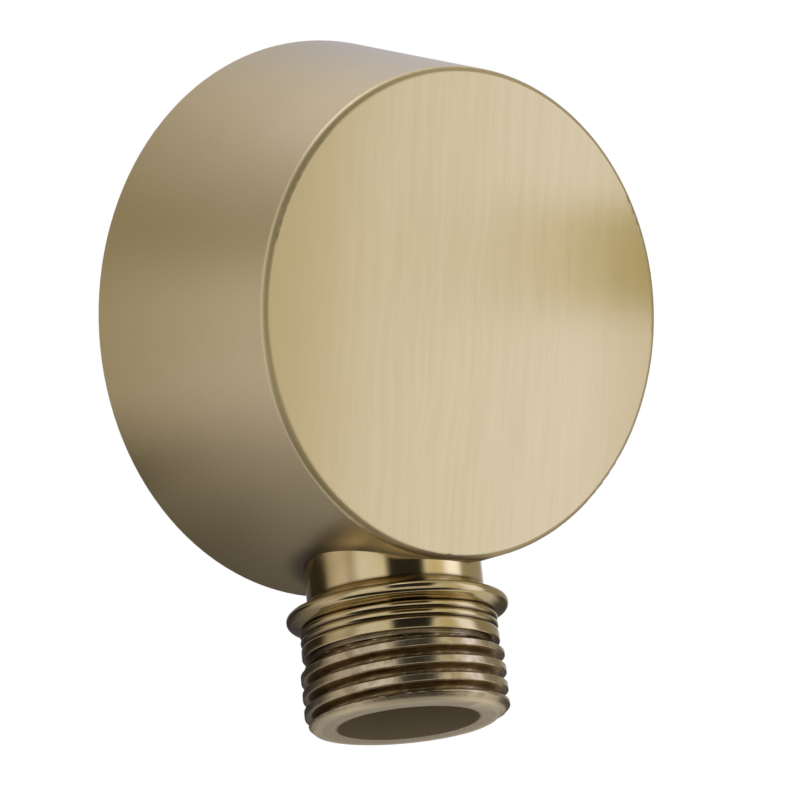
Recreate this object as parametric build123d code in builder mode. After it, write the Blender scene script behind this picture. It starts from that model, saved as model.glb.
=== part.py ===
from build123d import *
from math import cos, radians, sin, tan
import os

# Wall outlet elbow: a tapered round drum that screws onto a pipe end in the wall
# and feeds a shower hose through a short threaded outlet on its underside.
# Frame in millimetres: the wall is the plane y = 0, the drum stands out along -Y,
# and Z points up. The origin is where the drum's axis meets the wall.

# Drum
drum_depth = 23.5
front_radius = 25.0
side_taper = 10.0
front_edge_radius = 0.8
back_edge_chamfer = 0.3
side_wall = 3.0
front_wall = 4.0

# Pipe thread G 1/2, used for the inlet and for the outlet
thread_major_radius = 10.4775
thread_minor_radius = 9.3155
thread_pitch = 1.8143
thread_crest = 0.3

# Inlet hub and the water way inside it
hub_wall = 3.4
hub_setback = 0.6
inlet_thread_length = 11.0
inlet_lead_in = 0.6
chamber_radius = 8.0
waterway_radius = 3.5
waterway_offset = 3.6

# Outlet: its axis leaves the drum's axis this far from the wall and leans away from the wall
outlet_root = 6.8
outlet_lean = 15.0
outlet_bore_radius = 7.3

# Nipple, from the end in the drum to the open end
spigot_radius = 8.5
spigot_length = 3.5
neck_radius = 9.1
neck_entry = 2.6
neck_length = 2.275
flare_length = 1.3
flange_radius = 11.4
flange_rim = 0.9
flange_underside = 0.6
collar_radius = 10.15
bead_count = 2
bead_pitch = 0.85
bead_slope = 0.25
bead_height = 0.25
land_length = 1.4
relief_length = 0.25
relief_depth = 0.1
crest_count = 4
thread_chamfer = 0.8

# Socket and seal
boss_wall = 3.2
socket_clearance = 0.05
shoulder_clearance = 0.3
seal_thickness = 1.5
seal_clearance = 0.15

# Radii and depths worked out from the sizes above
taper_slope = tan(radians(side_taper))
rear_radius = front_radius + drum_depth * taper_slope
hollow_depth = drum_depth - front_wall
hollow_rear_radius = rear_radius - side_wall
hollow_front_radius = hollow_rear_radius - hollow_depth * taper_slope
hub_radius = thread_major_radius + hub_wall
chamber_start = hub_setback + inlet_thread_length
chamber_depth = hollow_depth - chamber_start
neck_socket_radius = neck_radius + socket_clearance
spigot_socket_radius = spigot_radius + socket_clearance
boss_radius = neck_socket_radius + boss_wall
relief_radius = thread_minor_radius - relief_depth
bead_root_radius = collar_radius - bead_height
thread_flank = thread_pitch / 2 - thread_crest
thread_length = thread_flank + (crest_count - 1) * thread_pitch + thread_crest + thread_chamfer

# Stations down the outlet's axis, counted from the drum's axis
lean_sin = sin(radians(outlet_lean))
lean_cos = cos(radians(outlet_lean))
side_crossing = (rear_radius - outlet_root * taper_slope) / (lean_cos + lean_sin * taper_slope)
shoulder_at = side_crossing - neck_entry
spigot_end = shoulder_at - spigot_length
socket_floor = spigot_end - seal_thickness
flare_start = side_crossing + neck_length
flare_end = flare_start + flare_length
rim_end = flare_end + flange_rim
beads_start = rim_end + flange_underside
beads_end = beads_start + bead_count * bead_pitch
land_end = beads_end + land_length
thread_start = land_end + relief_length
first_crest = thread_start + thread_flank
outlet_reach = thread_start + thread_length

# Section planes: X is the radius, Y runs out from the wall or down along the outlet
root_point = Vector(0, -outlet_root, 0)
outlet_direction = Vector(0, -lean_sin, -lean_cos)
outlet_axis = Axis(root_point, outlet_direction)
drum_section = Plane(origin=(0, 0, 0), x_dir=(1, 0, 0), z_dir=(0, 0, -1))
outlet_section = Plane(origin=root_point, x_dir=(1, 0, 0), z_dir=(0, lean_cos, -lean_sin))
outlet_plane = Plane(origin=root_point, x_dir=(1, 0, 0), z_dir=outlet_direction)
wall_plane = Plane(origin=(0, 0, 0), x_dir=(1, 0, 0), z_dir=(0, -1, 0))

os.makedirs("parts", exist_ok=True)

# The hollow behind the front wall, with the outlet's boss left standing in it
with BuildPart() as hollow:
    with BuildSketch(drum_section):
        with BuildLine():
            Polyline(
                (hub_radius, 0),
                (hollow_rear_radius, 0),
                (hollow_front_radius, hollow_depth),
                (hub_radius, hollow_depth),
                close=True,
            )
        make_face()
    revolve(axis=Axis.Y)
    with BuildSketch(outlet_plane):
        Circle(boss_radius)
    extrude(amount=outlet_reach, mode=Mode.SUBTRACT)
    with BuildSketch(wall_plane):
        Circle(hollow_rear_radius)
    extrude(amount=hub_setback, taper=side_taper)

# Drum: a turned taper with a flat front, hollowed from behind, then bored
with BuildPart() as drum_body:
    with BuildSketch(drum_section):
        with BuildLine():
            Polyline(
                (0, 0),
                (rear_radius, 0),
                (front_radius, drum_depth),
                (0, drum_depth),
                close=True,
            )
        make_face()
    revolve(axis=Axis.Y)
    front_rim = edges().filter_by(GeomType.CIRCLE).sort_by(Axis.Y)[0]
    fillet(front_rim, radius=front_edge_radius)
    back_rim = edges().filter_by(GeomType.CIRCLE).sort_by(Axis.Y)[-1]
    chamfer(back_rim, length=back_edge_chamfer)
    add(hollow.part, mode=Mode.SUBTRACT)

    # Inlet: the thread's bore with its lead-in, and the chamber beyond it
    with BuildSketch(wall_plane.offset(hub_setback)):
        Circle(thread_major_radius)
    extrude(amount=inlet_thread_length, mode=Mode.SUBTRACT)
    with BuildSketch(wall_plane.offset(hub_setback)):
        Circle(thread_major_radius + inlet_lead_in)
    extrude(amount=inlet_lead_in, taper=45, mode=Mode.SUBTRACT)
    with BuildSketch(wall_plane.offset(chamber_start)):
        Circle(chamber_radius)
    extrude(amount=chamber_depth, mode=Mode.SUBTRACT)

    # Outlet socket: a bore for the neck, a deeper one for the spigot and the seal
    with BuildSketch(outlet_plane.offset(shoulder_at - shoulder_clearance)):
        Circle(neck_socket_radius)
    extrude(amount=outlet_reach, mode=Mode.SUBTRACT)
    with BuildSketch(outlet_plane.offset(socket_floor)):
        Circle(spigot_socket_radius)
    extrude(amount=outlet_reach, mode=Mode.SUBTRACT)

    # Water way, drilled off centre through the socket up to the middle of the chamber
    away_from_wall = Vector(0, -lean_cos, lean_sin)
    floor_point = root_point + outlet_direction * socket_floor + away_from_wall * waterway_offset
    chamber_point = Vector(0, -(chamber_start + chamber_depth / 2), 0)
    waterway = chamber_point - floor_point
    waterway_plane = Plane(origin=floor_point, x_dir=(1, 0, 0), z_dir=waterway)
    with BuildSketch(waterway_plane.offset(-waterway_radius)):
        Circle(waterway_radius)
    extrude(amount=waterway.length + waterway_radius, mode=Mode.SUBTRACT)

drum_body.part.label = "drum_body"
export_step(drum_body.part, "parts/drum_body.step")

# Outlet nipple: turned in one, from the spigot in the socket down to the hose thread
with BuildPart() as outlet_nipple:
    with BuildSketch(outlet_section):
        with BuildLine():
            Polyline(
                (outlet_bore_radius, outlet_reach),
                (outlet_bore_radius, spigot_end),
                (spigot_radius, spigot_end),
                (spigot_radius, shoulder_at),
                (neck_radius, shoulder_at),
                (neck_radius, flare_start),
                (flange_radius, flare_end),
                (flange_radius, rim_end),
                (bead_root_radius, beads_start),
            )
            for bead in range(bead_count):
                bead_at = beads_start + bead * bead_pitch
                bead_next = bead_at + bead_pitch
                Polyline(
                    (bead_root_radius, bead_at),
                    (collar_radius, bead_at + bead_slope),
                    (collar_radius, bead_next - bead_slope),
                    (bead_root_radius, bead_next),
                )
            Polyline(
                (bead_root_radius, beads_end),
                (collar_radius, beads_end + bead_slope),
                (collar_radius, land_end),
                (relief_radius, land_end),
                (relief_radius, thread_start),
                (thread_major_radius, first_crest),
            )
            for crest in range(crest_count - 1):
                crest_at = first_crest + crest * thread_pitch
                crest_next = crest_at + thread_pitch
                Polyline(
                    (thread_major_radius, crest_at),
                    (thread_major_radius, crest_at + thread_crest),
                    (thread_minor_radius, crest_at + thread_crest + thread_flank),
                    (thread_minor_radius, crest_next - thread_flank),
                    (thread_major_radius, crest_next),
                )
            Polyline(
                (thread_major_radius, outlet_reach - thread_chamfer - thread_crest),
                (thread_major_radius, outlet_reach - thread_chamfer),
                (thread_major_radius - thread_chamfer, outlet_reach),
                (outlet_bore_radius, outlet_reach),
            )
        make_face()
    revolve(axis=outlet_axis)

outlet_nipple.part.label = "outlet_nipple"
export_step(outlet_nipple.part, "parts/outlet_nipple.step")

# Sealing ring, pressed flat between the spigot's end and the floor of the socket
with BuildPart() as nipple_seal:
    with BuildSketch(outlet_plane.offset(socket_floor)):
        Circle(spigot_radius - seal_clearance)
        Circle(outlet_bore_radius, mode=Mode.SUBTRACT)
    extrude(amount=seal_thickness)

nipple_seal.part.label = "nipple_seal"
export_step(nipple_seal.part, "parts/nipple_seal.step")
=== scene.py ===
from math import atan2, cos, hypot, pi, radians, sin, tan

import bmesh
import bpy
from mathutils import Matrix, Vector


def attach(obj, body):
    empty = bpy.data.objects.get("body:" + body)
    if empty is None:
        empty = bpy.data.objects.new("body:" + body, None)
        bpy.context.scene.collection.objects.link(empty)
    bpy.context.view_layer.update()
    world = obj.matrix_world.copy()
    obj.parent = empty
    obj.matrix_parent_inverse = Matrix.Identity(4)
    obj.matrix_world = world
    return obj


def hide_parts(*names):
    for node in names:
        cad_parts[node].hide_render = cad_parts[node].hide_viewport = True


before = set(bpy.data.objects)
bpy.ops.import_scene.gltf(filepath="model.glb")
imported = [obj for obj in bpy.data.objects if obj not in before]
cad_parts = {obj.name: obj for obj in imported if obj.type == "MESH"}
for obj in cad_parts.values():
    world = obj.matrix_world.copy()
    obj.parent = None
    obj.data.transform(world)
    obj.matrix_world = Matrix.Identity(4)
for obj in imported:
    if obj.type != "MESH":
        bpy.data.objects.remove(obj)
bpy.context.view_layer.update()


# Drum
# A tapered round body turned from one piece of brass, hollow behind, that screws onto a pipe end.
# Its flat front is brushed straight up and down, its side is satin, and its back is as machined.
class Shade:
    """A node's output in one material. Arithmetic on it adds Math nodes, and node() adds any other."""

    def __init__(self, tree, output=None):
        self.tree = tree
        self.output = output

    def node(self, kind, settings=(), sockets=(), out=0):
        """A new node: its settings are set first, then its sockets get a value or a link."""
        made = self.tree.nodes.new(kind)
        for name, value in dict(settings).items():
            setattr(made, name, value)
        for name, value in dict(sockets).items():
            if isinstance(value, Shade):
                self.tree.links.new(value.output, made.inputs[name])
            else:
                made.inputs[name].default_value = value
        return Shade(self.tree, made.outputs[out] if made.outputs else None)

    def math(self, operation, first, second=0.0):
        return self.node("ShaderNodeMath", {"operation": operation}, {0: first, 1: second})

    def __add__(self, other):
        return self.math("ADD", self, other)

    def __radd__(self, other):
        return self.math("ADD", other, self)

    def __sub__(self, other):
        return self.math("SUBTRACT", self, other)

    def __rsub__(self, other):
        return self.math("SUBTRACT", other, self)

    def __mul__(self, other):
        return self.math("MULTIPLY", self, other)

    def __rmul__(self, other):
        return self.math("MULTIPLY", other, self)

    def root(self):
        return self.math("SQRT", self)

    def axes(self):
        """The three numbers of a vector."""
        first = self.node("ShaderNodeSeparateXYZ", (), {0: self})
        numbers = first.output.node.outputs
        return [Shade(self.tree, number) for number in numbers]

    def step(self, low, high):
        """0 where this is below low, 1 where it is above high, smooth between."""
        span = {"Value": self, "From Min": low, "From Max": high, "To Min": 0.0, "To Max": 1.0}
        return self.node("ShaderNodeMapRange", {"interpolation_type": "SMOOTHSTEP"}, span)

    def mix(self, first, second):
        """Colour first where this is 0, colour second where it is 1."""
        return self.node("ShaderNodeMix", {"data_type": "RGBA"}, {0: self, 6: first, 7: second}, out=2)

    def grain(self, scale, detail):
        """Noise of about 0.5 whose cells are 1/scale metres along each axis."""
        stretched = self.node("ShaderNodeMapping", (), {"Vector": self, "Scale": scale})
        sockets = {"Vector": stretched, "Scale": 1.0, "Detail": detail, "Roughness": 0.55}
        return self.node("ShaderNodeTexNoise", (), sockets)

    def bump(self, depth, under=None):
        """The mesh's own normal, or the normal under, roughened by this height times depth metres."""
        sockets = {"Distance": depth, "Height": self}
        if under:
            sockets["Normal"] = under
        return self.node("ShaderNodeBump", (), sockets)

    def brass(self, colour, roughness, normal, anisotropy=0.0, metallic=1.0):
        """A bare metal surface, or a dull one where metallic is below 1."""
        sockets = {
            "Base Color": colour,
            "Metallic": metallic,
            "Roughness": roughness,
            "Normal": normal,
            "Anisotropic": anisotropy,
        }
        return self.node("ShaderNodeBsdfPrincipled", (), sockets)

    def surface(self, shader):
        self.node("ShaderNodeOutputMaterial", (), {"Surface": shader})


def new_finish(name):
    """An empty material and the Shade that starts its nodes."""
    finish = bpy.data.materials.new(name)
    finish.use_nodes = True
    finish.node_tree.nodes.clear()
    return finish, Shade(finish.node_tree)


drum_depth = 0.0235
rear_radius = 0.029144
side_slope = tan(radians(10))
side_back = 0.0003
side_front = 0.0226
front_edge = 0.0230
hollow_depth = 0.0205
skin = 0.0004
outlet_root = 0.0068
outlet_lean = radians(15)
lean_sin = sin(outlet_lean)
lean_cos = cos(outlet_lean)
neck_radius = 0.0091


def along_outlet(x, y, z):
    """How far a place is down the outlet's axis, and how far it is off that axis."""
    from_root = y + outlet_root
    down = from_root * -lean_sin + z * -lean_cos
    off_axis = (x * x + from_root * from_root + z * z - down * down).root()
    return down, off_axis


champagne_dark = (0.57, 0.465, 0.27, 1)
champagne_light = (0.635, 0.525, 0.32, 1)
champagne_painted_shade = (0.49, 0.39, 0.20, 1)
joint_painted_shade = (0.13, 0.10, 0.062, 1)
raw_brass = (0.60, 0.45, 0.21, 1)
raw_brass_dull = (0.47, 0.34, 0.15, 1)
sway_scale = 70.0
sway_reach = (0.0022, 0, 0)
edge_shade_middle = 0.0015
edge_shade_start = 0.011
edge_shade_end = 0.026
brush_anisotropy = 0.75
front_light_start = -0.004
front_light_end = 0.026
joint_shade_width = 0.0024
scratch_depth = 0.000006
satin_depth = 0.000006
ring_depth = 0.000004
ring_waves = 9000.0
# One finish passes into the next over this length, or a few times it
blend = 0.0001

drum_finish, shade = new_finish("brushed_champagne_brass")
place = shade.node("ShaderNodeTexCoord", out="Object")
x, y, z = place.axes()
off_wall = 0.0 - y
axis_distance = (x * x + z * z).root()

# Front: long soft scratches that wander a little as they run along Z, under hair-fine ones
sway_noise = {"Vector": place, "Scale": sway_scale, "Detail": 1.0}
sway = shade.node("ShaderNodeTexNoise", (), sway_noise, out="Color")
swaying = {0: sway, 1: sway_reach, 2: place}
swayed = shade.node("ShaderNodeVectorMath", {"operation": "MULTIPLY_ADD"}, swaying)
coarse_scratch = swayed.grain((1000, 1, 55), 2)
hair_scratch = swayed.grain((4200, 1, 120), 3)
haze = place.grain((90, 1, 40), 2)
scratch = coarse_scratch * 0.45 + hair_scratch * 0.30 + haze * 0.25
brushed = scratch.step(0.30, 0.70).mix(champagne_dark, champagne_light)
# Painted shade: the front's colour turns a deeper gold towards its left and right edges, most at the left
off_edge_shade_middle = x - edge_shade_middle
painted_edge_shade = (off_edge_shade_middle * off_edge_shade_middle).root().step(edge_shade_start, edge_shade_end)
front_colour = (painted_edge_shade * 0.95).mix(brushed, champagne_painted_shade)
front_roughness = 0.27 + 0.08 * scratch
front_normal = hair_scratch.bump(scratch_depth)
front_brass = shade.brass(front_colour, front_roughness, front_normal, brush_anisotropy)

# Side: a fine satin with hardly any grain; painted light makes its colour lighter towards the front and a
# deeper gold towards the back
satin = place.grain((2600, 2600, 2600), 2)
cloud = place.grain((90, 90, 90), 2)
mottle = (satin * 0.4 + cloud * 0.6).step(0.25, 0.75)
front_light_and_mottle = off_wall.step(front_light_start, front_light_end) * 0.8 + mottle * 0.2
# The round at the front's edge is duller, and painted shade makes it a deeper gold
on_edge = off_wall.step(front_edge, front_edge + 3 * blend)
satin_colour = (front_light_and_mottle * (1.0 - on_edge)).mix(champagne_painted_shade, champagne_light)
# Painted shade darkens a ring round the joint where the outlet enters the underside
down, off_outlet = along_outlet(x, y, z)
on_underside = down.step(0.0, 0.01)
painted_joint_shade = (1.0 - off_outlet.step(neck_radius, neck_radius + joint_shade_width)) * on_underside
side_colour = (painted_joint_shade * 0.85).mix(satin_colour, joint_painted_shade)
# Between its two rims the side is a true cone, so its normal is worked out and shows no facets
cone = shade.node("ShaderNodeCombineXYZ", (), {0: x, 1: axis_distance * -side_slope, 2: z})
cone_normal = shade.node("ShaderNodeVectorMath", {"operation": "NORMALIZE"}, {0: cone})
mesh_normal = shade.node("ShaderNodeNewGeometry", out="Normal")
past_back = off_wall.step(side_back, side_back + blend)
past_front = off_wall.step(side_front, side_front + 2 * blend)
normals = {0: past_back * (1.0 - past_front), 4: mesh_normal, 5: cone_normal}
side_normal = shade.node("ShaderNodeMix", {"data_type": "VECTOR"}, normals, out=1)
side_roughness = 0.33 + 0.06 * cloud + 0.22 * on_edge
side_brass = shade.brass(side_colour, side_roughness, satin.bump(satin_depth, side_normal))

# Back: bare turned brass with the rings that the tool leaves
rings = shade.math("SINE", (axis_distance + y) * ring_waves)
tarnish = place.grain((140, 140, 140), 3)
back_colour = tarnish.step(0.35, 0.7).mix(raw_brass, raw_brass_dull)
back_brass = shade.brass(back_colour, 0.32 + 0.12 * tarnish, rings.bump(ring_depth))

on_front = off_wall.step(drum_depth - 0.5 * blend, drum_depth - 0.1 * blend)
below_skin = (rear_radius + y * side_slope) - axis_distance
in_hollow = 1.0 - off_wall.step(hollow_depth, hollow_depth + 10 * blend)
on_back = below_skin.step(skin, 2 * skin) * in_hollow
outside = shade.node("ShaderNodeMixShader", (), {0: on_front, 1: side_brass, 2: front_brass})
shade.surface(shade.node("ShaderNodeMixShader", (), {0: on_back, 1: outside, 2: back_brass}))

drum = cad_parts["drum_body"]
drum.data.materials.clear()
drum.data.materials.append(drum_finish)


# Inlet thread
# The pipe thread cut in the hub behind the drum, a right-handed G 1/2 with rounded crests and roots.
# It is drawn as a lining of the hub's plain bore, its crests at the thread's minor radius.
thread_major = 0.0104775
thread_minor = 0.0093155
thread_pitch = 0.0018143
half_crest = 0.17
thread_columns = 192
touching = 1e-6
sharp_corner = radians(40)


def turned(profile, columns):
    """A bmesh of a closed (radius, height) outline turned round Z."""
    made = bmesh.new()
    points = [made.verts.new((radius, 0, height)) for radius, height in profile]
    lines = [made.edges.new((a, b)) for a, b in zip(points, points[1:] + points[:1])]
    bmesh.ops.spin(
        made,
        geom=points + lines,
        cent=(0, 0, 0),
        axis=(0, 0, 1),
        dvec=(0, 0, 0),
        angle=2 * pi,
        steps=columns,
        use_merge=True,
    )
    bmesh.ops.remove_doubles(made, verts=made.verts, dist=touching / 10)
    bmesh.ops.recalc_face_normals(made, faces=made.faces)
    return made


def radius_of(vert):
    return hypot(vert.co.x, vert.co.y)


def lies_at(vert, corner):
    """Whether a vertex lies at this (radius, height)."""
    return hypot(radius_of(vert) - corner[0], vert.co.z - corner[1]) < touching


def slice_rows(made, low, high, rows):
    """Cuts rows into the band of quads whose edges run from the (radius, height) low to high."""
    band = []
    for edge in made.edges:
        lower, upper = sorted(edge.verts, key=lambda vert: vert.co.z)
        if lies_at(lower, low) and lies_at(upper, high):
            band.append(edge)
    bmesh.ops.subdivide_edges(made, edges=band, cuts=rows - 1)


def thread_radius(height, angle):
    """A right-handed thread's radius: a flat crest, and a groove with a round root and shoulders."""
    turn = height / thread_pitch - angle / (2 * pi)
    from_crest = abs(turn - round(turn))
    fall = max(0.0, (from_crest - half_crest) / (0.5 - half_crest))
    return thread_major - (thread_major - thread_minor) * fall * fall * (3 - 2 * fall)


def set_radius(vert, radius):
    now = radius_of(vert)
    vert.co.x *= radius / now
    vert.co.y *= radius / now


def finished(made, name, matrix, finish):
    """The bmesh as a shown object in its place, smooth but for its sharp corners."""
    made.transform(matrix)
    bmesh.ops.recalc_face_normals(made, faces=made.faces)
    for face in made.faces:
        face.smooth = True
    for edge in made.edges:
        edge.smooth = edge.calc_face_angle(0) < sharp_corner
    mesh = bpy.data.meshes.new(name)
    made.to_mesh(mesh)
    made.free()
    piece = bpy.data.objects.new(name, mesh)
    bpy.context.scene.collection.objects.link(piece)
    mesh.materials.append(finish)
    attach(piece, "root")
    return piece


inlet_mouth = 0.0012
inlet_end = 0.0116
inlet_rows = 150
run_out_slope = 2
lining_back = thread_major + 0.00003
lining_root = thread_major - 0.00001
inlet_outline = [
    (lining_back, inlet_mouth),
    (lining_root, inlet_mouth),
    (lining_root, inlet_end),
    (lining_back, inlet_end),
]
inlet_bm = turned(inlet_outline, thread_columns)
slice_rows(inlet_bm, inlet_outline[1], inlet_outline[2], inlet_rows)
for vert in inlet_bm.verts:
    if radius_of(vert) < thread_major:
        depth = vert.co.z
        cut = thread_radius(depth, atan2(vert.co.y, vert.co.x))
        lead_in = thread_major - (depth - inlet_mouth)
        run_out = thread_major - run_out_slope * (inlet_end - depth)
        set_radius(vert, min(lining_root, max(cut, lead_in, run_out)))

swarf_depth = 0.00001
thread_finish, shade = new_finish("cut_brass_thread")
place = shade.node("ShaderNodeTexCoord", out="Object")
swarf = place.grain((700, 700, 700), 3)
cut_colour = swarf.step(0.3, 0.7).mix(raw_brass, raw_brass_dull)
shade.surface(shade.brass(cut_colour, 0.24 + 0.14 * swarf, swarf.bump(swarf_depth)))
out_of_wall = Matrix(((1, 0, 0, 0), (0, 0, -1, 0), (0, 1, 0, 0), (0, 0, 0, 1)))
finished(inlet_bm, "inlet_thread", out_of_wall, thread_finish)


# Outlet nipple
# A short brass pipe turned in one, polished, pushed into the drum's underside and leaning off the wall.
# It has a plain neck, a flared flange over two beads and a band, a relief groove and a G 1/2 thread.
outlet_end = 0.0432
outlet_bore = 0.0073
wall_middle = 0.0088
spigot_end = 0.021525
spigot_radius = 0.0085
shoulder = 0.025025
flare_start = 0.0299
flare_hollow = 0.00012
flare_pieces = 8
flare_end = 0.0312
flange_radius = 0.0114
flange_edge = 0.0004
rim_end = 0.0321
beads_start = 0.0327
bead_pitch = 0.00085
bead_height = 0.00025
bead_root = 0.0099
bead_count = 2
bead_pieces = 10
beads_end = beads_start + bead_count * bead_pitch
band_round = 0.0002
land_end = 0.0358
land_radius = bead_root + bead_height
relief_radius = 0.0092155
thread_start = 0.03605
thread_chamfer = 0.0008
thread_turn = 0.35
thread_rows = 130
nipple_columns = 224
round_segments = 5


def bowed(start, end, bow, pieces):
    """Points from start up to, but not at, end on a line that bows out to its right."""
    across, along = end[0] - start[0], end[1] - start[1]
    length = hypot(across, along)
    points = []
    for index in range(pieces):
        share = index / pieces
        out = bow * 4 * share * (1 - share) / length
        points.append((start[0] + across * share + along * out, start[1] + along * share - across * out))
    return points


band_edge = (land_radius, beads_end + bead_height)
thread_top = (thread_major - thread_chamfer, outlet_end)
nipple_outline = [
    (outlet_bore, outlet_end),
    (outlet_bore, spigot_end),
    (spigot_radius, spigot_end),
    (spigot_radius, shoulder),
    (neck_radius, shoulder),
]
nipple_outline += bowed((neck_radius, flare_start), (flange_radius, flare_end), -flare_hollow, flare_pieces)
nipple_outline += [
    (flange_radius, flare_end),
    (flange_radius, rim_end),
]
for bead in range(bead_count):
    bead_at = beads_start + bead * bead_pitch
    bead_next = bead_at + bead_pitch
    nipple_outline += bowed((bead_root, bead_at), (bead_root, bead_next), bead_height, bead_pieces)
nipple_outline += [
    (bead_root, beads_end),
    band_edge,
    (land_radius, land_end),
    (relief_radius, land_end),
    (relief_radius, thread_start),
    thread_top,
]
nipple_bm = turned(nipple_outline, nipple_columns)
rounded = [
    ((flange_radius, flare_end), flange_edge),
    ((flange_radius, rim_end), flange_edge),
    (band_edge, band_round),
    ((land_radius, land_end), band_round),
]
for corner, rounding in rounded:
    rim = [edge for edge in nipple_bm.edges if all(lies_at(vert, corner) for vert in edge.verts)]
    bmesh.ops.bevel(
        nipple_bm,
        geom=rim,
        offset=rounding,
        affect="EDGES",
        segments=round_segments,
        profile=0.5,
        material=-1,
    )
slice_rows(nipple_bm, (relief_radius, thread_start), thread_top, thread_rows)
run_in_slope = (thread_major - relief_radius) / thread_chamfer
for vert in nipple_bm.verts:
    height = vert.co.z
    if thread_start + touching < height and radius_of(vert) > relief_radius:
        angle = atan2(vert.co.y, vert.co.x) + 2 * pi * thread_turn
        cut = thread_radius(height - thread_start, angle)
        run_in_cone = relief_radius + (height - thread_start) * run_in_slope
        end_cone = thread_top[0] + (outlet_end - height)
        set_radius(vert, min(cut, run_in_cone, end_cone))

polished_gold = (0.61, 0.48, 0.26, 1)
polished_brown = (0.53, 0.405, 0.20, 1)
collar_painted_shade = (0.44, 0.345, 0.18, 1)
crease_shade_brown = (0.11, 0.082, 0.045, 1)
end_tan = (0.60, 0.49, 0.32, 1)
worn_tan = (0.52, 0.425, 0.28, 1)
worn_brown = (0.39, 0.305, 0.18, 1)
groove_dark = (0.17, 0.135, 0.085, 1)
bore_brown = (0.26, 0.20, 0.12, 1)
tool_mark_depth = 0.00001

nipple_finish, shade = new_finish("polished_brass")
place = shade.node("ShaderNodeTexCoord", out="Object")
x, y, z = place.axes()
down, off_axis = along_outlet(x, y, z)
smear = place.grain((160, 160, 160), 3)
patch = place.grain((750, 750, 750), 3)
tool_marks = place.grain((3000, 3000, 3000), 2)

# Painted shade darkens the colour between the beads, under the flange and where the flare leaves the neck
on_beads = down.step(rim_end, rim_end + 2 * blend) * (1.0 - down.step(land_end, land_end + blend))
bead_valley = on_beads * (1.0 - off_axis.step(bead_root + 0.4 * blend, land_radius - 0.5 * blend))
before_flare = 1.0 - down.step(flare_start, flare_start + 5 * blend)
flare_foot = down.step(flare_start - 3 * blend, flare_start) * before_flare
painted_crease_shade = shade.math("MINIMUM", bead_valley * 0.85 + flare_foot * 0.5, 1.0)
bright = smear.step(0.3, 0.7).mix(polished_gold, polished_brown)
# From the flare on, the collar's colour is a darker brown of painted shade
on_collar = down.step(flare_start - 2 * blend, flare_start + 4 * blend)
collar_colour = painted_crease_shade.mix((on_collar * 0.7).mix(bright, collar_painted_shade), crease_shade_brown)

# The thread's crests are worn bright in patches and its groove's colour is darker
past_land = down.step(land_end - blend, land_end + blend)
on_thread = past_land * off_axis.step(wall_middle, wall_middle + 3 * blend)
in_groove = 1.0 - off_axis.step(thread_minor + blend, thread_major - 2 * blend)
worn = patch.step(0.35, 0.62).mix(worn_tan, worn_brown)
thread_colour = (in_groove * 0.4).mix(worn, groove_dark)

# The bore is dull and brown, and the end is a plain cut face
in_bore = 1.0 - off_axis.step(outlet_bore + blend, outlet_bore + 3 * blend)
on_end = down.step(outlet_end - 5 * blend, outlet_end - 2 * blend) * (1.0 - in_bore)
outside_colour = on_end.mix(on_thread.mix(collar_colour, thread_colour), end_tan)
nipple_colour = in_bore.mix(outside_colour, bore_brown)
nipple_roughness = 0.11 + 0.05 * smear + 0.11 * on_thread + 0.13 * on_end + 0.25 * in_bore
nipple_normal = (tool_marks * (0.15 + 0.85 * on_thread)).bump(tool_mark_depth)
nipple_metal = 1.0 - (0.55 * in_bore + 0.35 * on_end)
shade.surface(shade.brass(nipple_colour, nipple_roughness, nipple_normal, metallic=nipple_metal))

out_of_drum = Matrix(
    (
        (1, 0, 0, 0),
        (0, -lean_cos, -lean_sin, -outlet_root),
        (0, lean_sin, -lean_cos, 0),
        (0, 0, 0, 1),
    )
)
nipple = finished(nipple_bm, "outlet_nipple_turned", out_of_drum, nipple_finish)
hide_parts("outlet_nipple")


# Nipple seal
# A flat black rubber ring at the bottom of the drum's socket, pressed by the end of the nipple.
# It is punched from sheet and lies loose in the socket.
rubber_black = (0.018, 0.018, 0.019, 1)
rubber_grey = (0.032, 0.032, 0.033, 1)
bloom_depth = 0.00002
seal_finish, shade = new_finish("black_rubber")
place = shade.node("ShaderNodeTexCoord", out="Object")
bloom = place.grain((900, 900, 900), 3)
rubber = {
    "Base Color": bloom.step(0.35, 0.7).mix(rubber_black, rubber_grey),
    "Roughness": 0.55 + 0.2 * bloom,
    "Normal": bloom.bump(bloom_depth),
}
shade.surface(shade.node("ShaderNodeBsdfPrincipled", (), rubber))
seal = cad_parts["nipple_seal"]
seal.data.materials.clear()
seal.data.materials.append(seal_finish)


# Studio
# A pale floor well under the part, a white surround, and cards that only the metal's reflections see.
# The part is shown free in the air, as it hangs when it is fixed to a wall.
def plate(name, width, height, matrix, finish):
    """A flat sheet of the studio, in its place."""
    made = bmesh.new()
    made.loops.layers.uv.new("UVMap")
    bmesh.ops.create_grid(made, x_segments=1, y_segments=1, size=0.5, calc_uvs=True)
    bmesh.ops.scale(made, vec=(width, height, 1), verts=made.verts)
    made.transform(matrix)
    mesh = bpy.data.meshes.new(name)
    made.to_mesh(mesh)
    made.free()
    shown = bpy.data.objects.new(name, mesh)
    bpy.context.scene.collection.objects.link(shown)
    mesh.materials.append(finish)
    return shown


floor_width = 6
floor_height = -0.13
floor_pale = (0.86, 0.86, 0.86, 1)
floor_grey = (0.84, 0.84, 0.84, 1)
floor_finish, shade = new_finish("pale_floor")
place = shade.node("ShaderNodeTexCoord", out="Object")
speck = place.grain((40, 40, 40), 2)
paint = {
    "Base Color": speck.step(0.3, 0.7).mix(floor_pale, floor_grey),
    "Roughness": 0.9,
}
painted = shade.node("ShaderNodeBsdfPrincipled", (), paint)
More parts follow.
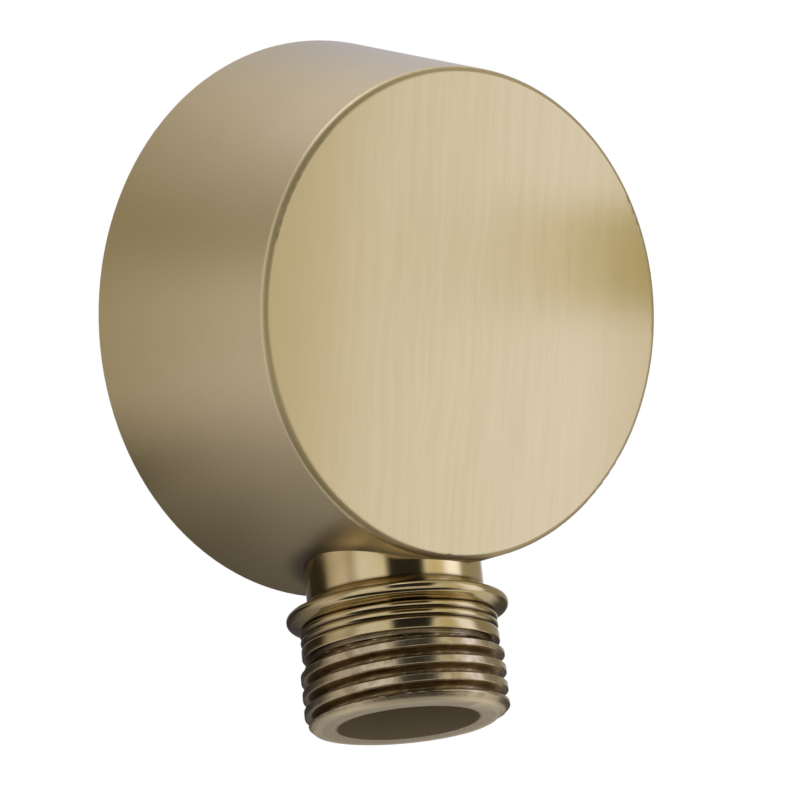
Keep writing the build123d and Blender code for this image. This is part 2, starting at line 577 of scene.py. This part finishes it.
# It is clear from below, so that it never hides the outlet
from_below = shade.node("ShaderNodeNewGeometry", out="Backfacing")
clear = shade.node("ShaderNodeBsdfTransparent")
shade.surface(shade.node("ShaderNodeMixShader", (), {0: from_below, 1: painted, 2: clear}))
plate("floor", floor_width, floor_width, Matrix.Translation((0, 0, floor_height)), floor_finish)

# Each card: its name, azimuth and elevation from the part's middle, distance, half its width and half
# its height as angles, the share of its width and height over which an edge fades, and its light
part_middle = Vector((0, -0.012, -0.006))
cards = [
    ("key_left_card", 20, 5, 0.16, 15, 48, 0.40, (0.88, 0.82, 0.62)),
    ("key_right_card", 47, 5, 0.17, 19, 48, 0.40, (1.55, 1.65, 2.20)),
    ("band_card", 56, 17, 0.055, 19, 8, 0.25, (0.80, 0.75, 0.55)),
    ("right_card", 92, 5, 0.31, 40, 45, 0.25, (0.43, 0.41, 0.34)),
    ("flag_card", -24, 34, 0.17, 29, 38, 0.18, (0.03, 0.03, 0.03)),
    ("left_card", -74, 8, 0.12, 24, 48, 0.40, (1.00, 1.04, 1.18)),
    ("horizon_card", -132, 8, 0.37, 52, 50, 0.15, (0.41, 0.38, 0.32)),
    ("side_card", -110, 0, 0.12, 26, 26, 0.48, (0.77, 0.75, 0.77)),
    ("crown_left_card", -150, 50, 0.33, 42, 28, 0.45, (0.64, 0.63, 0.68)),
    ("crown_card", 147, 25, 0.30, 40, 32, 0.30, (0.66, 0.69, 0.93)),
    ("front_top_card", 5, 64, 0.30, 50, 20, 0.30, (0.60, 0.62, 0.62)),
    ("rim_card", -92, 73, 0.26, 34, 16, 0.40, (1.90, 1.90, 2.40)),
    ("low_left_card", -109, -38, 0.15, 36, 38, 0.42, (0.87, 0.84, 0.92)),
    ("low_right_card", 120, -28, 0.14, 40, 18, 0.30, (0.10, 0.09, 0.08)),
    ("low_back_card", -180, -34, 0.08, 60, 54, 0.47, (0.06, 0.055, 0.065)),
    ("low_front_card", -30, -52, 0.12, 60, 28, 0.30, (0.02, 0.02, 0.02)),
    ("nipple_flag_card", -147, -30, 0.050, 24, 13, 0.25, (0.04, 0.035, 0.025)),
]
for name, azimuth, elevation, distance, half_turn, half_rise, softness, glow in cards:
    card_finish, shade = new_finish(name)
    card_finish.cycles.emission_sampling = "NONE"
    across, along, _ = shade.node("ShaderNodeTexCoord", out="UV").axes()
    strength = across.step(0, softness)
    for from_edge in (1.0 - across, along, 1.0 - along):
        strength = strength * from_edge.step(0, softness)
    glowing = shade.node("ShaderNodeEmission", (), {"Color": (*glow, 1), "Strength": 1.0})
    clear = shade.node("ShaderNodeBsdfTransparent")
    shade.surface(shade.node("ShaderNodeMixShader", (), {0: strength, 1: clear, 2: glowing}))
    turn = Matrix.Rotation(radians(azimuth), 4, "Z") @ Matrix.Rotation(radians(90 - elevation), 4, "X")
    at = Matrix.Translation(part_middle) @ turn @ Matrix.Translation((0, 0, distance))
    width = 2 * distance * tan(radians(half_turn))
    height = 2 * distance * tan(radians(half_rise))
    card = plate(name, width, height, at, card_finish)
    card.visible_camera = False
    card.visible_diffuse = False
    card.visible_shadow = False
    card.visible_transmission = False

# The surround is plain white to the camera and to reflections, and lights the part more softly
white = (1, 1, 1, 1)
world = bpy.data.worlds.new("white_surround")
bpy.context.scene.world = world
world.use_nodes = True
world.node_tree.nodes.clear()
shade = Shade(world.node_tree)
seen = shade.node("ShaderNodeLightPath", out="Is Camera Ray")
light_path = seen.output.node
for ray in ("Is Glossy Ray", "Is Transmission Ray"):
    seen = seen + Shade(shade.tree, light_path.outputs[ray])
soft_sky = shade.node("ShaderNodeBackground", (), {"Color": white, "Strength": 0.6})
white_sky = shade.node("ShaderNodeBackground", (), {"Color": white, "Strength": 1.0})
sky = shade.node("ShaderNodeMixShader", (), {0: seen, 1: soft_sky, 2: white_sky})
shade.node("ShaderNodeOutputWorld", (), {"Surface": sky})

lamp = bpy.data.lights.new("overhead_lamp", "AREA")
lamp.energy = 9.5
lamp.size = 0.9
overhead = bpy.data.objects.new("overhead_lamp", lamp)
overhead.location = (0.2, -0.3, 1.2)
overhead.rotation_euler = (part_middle - Vector(overhead.location)).to_track_quat("-Z", "Y").to_euler()
overhead.visible_glossy = False
bpy.context.scene.collection.objects.link(overhead)


# Camera
# A long lens a little below the part, to the left of its front.
# The place, turn and lens come from fitting the drum's two rims and the outlet's end.
camera_azimuth = radians(-36.59)
camera_elevation = radians(-3.53)
camera_roll = radians(3.296)
camera_distance = 0.626952
camera_across = 0.006817
camera_up = -0.007801
back = Vector(
    (
        sin(camera_azimuth) * cos(camera_elevation),
        -cos(camera_azimuth) * cos(camera_elevation),
        sin(camera_elevation),
    )
)
level = Vector((cos(camera_azimuth), sin(camera_azimuth), 0))
upright = back.cross(level)
right = level * cos(camera_roll) + upright * sin(camera_roll)
up = upright * cos(camera_roll) - level * sin(camera_roll)
lens = bpy.data.cameras.new("camera")
lens.sensor_width = 36
lens.lens = 274.46
lens.clip_start = 0.01
camera = bpy.data.objects.new("camera", lens)
camera.matrix_world = (
    Matrix.Translation(right * camera_across + up * camera_up + back * camera_distance)
    @ Matrix((right, up, back)).transposed().to_4x4()
)
bpy.context.scene.collection.objects.link(camera)
bpy.context.scene.camera = camera
bpy.context.scene.view_settings.view_transform = "Standard"
